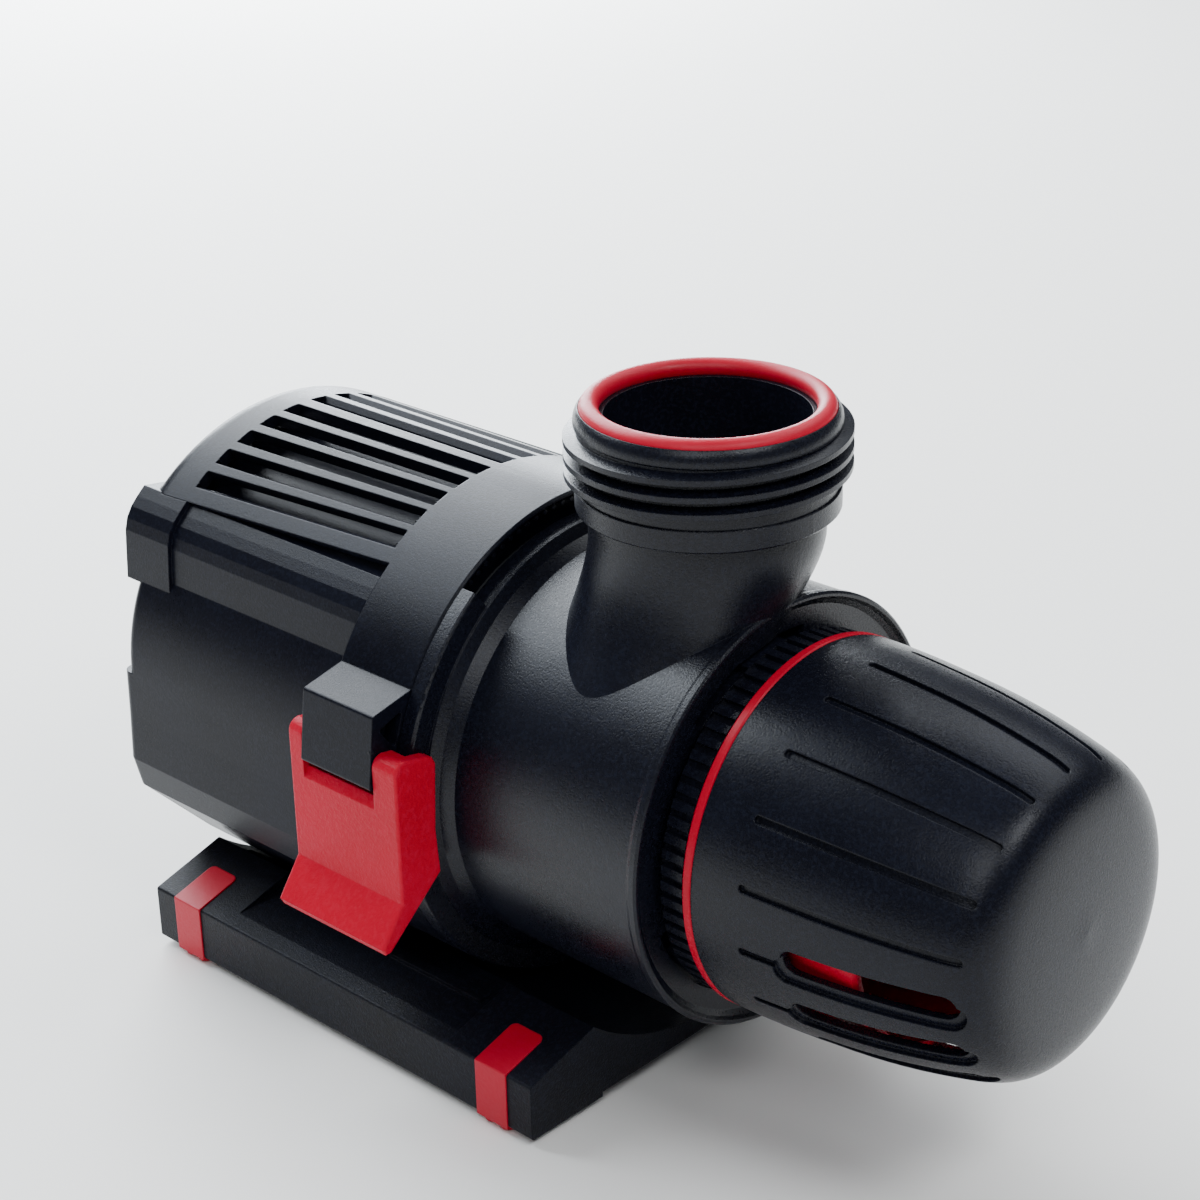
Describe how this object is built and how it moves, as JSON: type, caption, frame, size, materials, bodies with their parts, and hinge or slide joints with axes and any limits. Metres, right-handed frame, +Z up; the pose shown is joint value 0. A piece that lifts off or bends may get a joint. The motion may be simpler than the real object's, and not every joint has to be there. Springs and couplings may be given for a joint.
{
  "type": "aquarium circulation pump",
  "caption": "Black submersible aquarium pump: vented motor housing on a saddle base with red feet, round pump head, threaded outlet on top, barrel strainer, red side latches.",
  "frame": {"origin": "centre of the pump's footprint on the surface that it stands on", "axes": "+Z up along the outlet, +X along the shaft from the cable gland to the strainer, right-hand latch at -Y"},
  "size_m": [0.2492, 0.1374, 0.1541],
  "materials": {
    "housing_black": "fine satin moulded plastic",
    "head_black": "fine satin moulded plastic",
    "base_black": "fine textured moulded plastic",
    "strainer_black": "soft sheen moulded plastic",
    "latch_red": "satin and spark textured moulded plastic",
    "collar_red": "smooth moulded plastic",
    "seal_red": "smooth elastomer",
    "foot_red": "matt elastomer",
    "seal_black": "smooth elastomer",
    "screw_steel": "stainless",
    "pot_alloy": "cast",
    "core_steel": "stacked laminations",
    "copper_wire": "enamelled copper wire",
    "board_green": "glass fibre board",
    "well_grey": "smooth moulded plastic",
    "ceramic": "polished ceramic",
    "magnet_black": "epoxy coated magnet",
    "impeller_grey": "smooth moulded plastic"
  },
  "bodies": {
    "pump": {"base": "base_black", "foot_rear_right": "foot_red", "foot_rear_left": "foot_red", "foot_front_right": "foot_red", "foot_front_left": "foot_red", "base_screws": "screw_steel", "motor_casing": "housing_black", "front_shell": "housing_black", "rear_cover": "housing_black", "rear_cover_screws": "screw_steel", "cable_gland": "base_black", "gland_nut": "base_black", "gland_seal": "seal_black", "stator_housing": "pot_alloy", "stator_core": "core_steel", "stator_windings": "copper_wire", "drive_board": "board_green", "rotor_well": "well_grey", "shaft": "ceramic", "rear_thrust_washer": "ceramic", "front_thrust_washer": "ceramic", "front_bearing": "seal_black", "volute": "head_black", "outlet_seal": "seal_red", "volute_seal": "seal_black", "inlet_cover": "head_black", "inlet_seal": "seal_black", "latch_pin_right": "screw_steel", "latch_pin_left": "screw_steel"},
    "rotor": {"rotor_magnet": "magnet_black", "rotor_sleeve": "impeller_grey", "impeller": "impeller_grey"},
    "lock_ring": {"lock_ring": "head_black"},
    "strainer_collar": {"strainer_collar": "collar_red"},
    "strainer_cage": {"strainer_cage": "strainer_black"},
    "latch_right": {"latch_lever_right": "latch_red"},
    "latch_left": {"latch_lever_left": "latch_red"}
  },
  "joints": [
    {"name": "rotor_spin", "type": "hinge", "parent": "pump", "child": "rotor", "pos_m": [0.0273, 0, 0.066], "axis": [1, 0, 0], "continuous": true},
    {"name": "lock_ring_turn", "type": "hinge", "parent": "pump", "child": "lock_ring", "pos_m": [0.0273, 0, 0.066], "axis": [1, 0, 0], "range_deg": [0, 22]},
    {"name": "strainer_turn", "type": "hinge", "parent": "pump", "child": "strainer_collar", "pos_m": [0.0273, 0, 0.066], "axis": [1, 0, 0], "continuous": true},
    {"name": "strainer_pull", "type": "slide", "parent": "strainer_collar", "child": "strainer_cage", "axis": [1, 0, 0], "range_m": [0, 0.045]},
    {"name": "latch_right_flip", "type": "hinge", "parent": "pump", "child": "latch_right", "pos_m": [-0.0217, -0.0598, 0.0798], "axis": [-1, 0, 0], "range_deg": [0, 100]},
    {"name": "latch_left_flip", "type": "hinge", "parent": "pump", "child": "latch_left", "pos_m": [-0.0217, 0.0598, 0.0798], "axis": [1, 0, 0], "range_deg": [0, 100]}
  ]
}
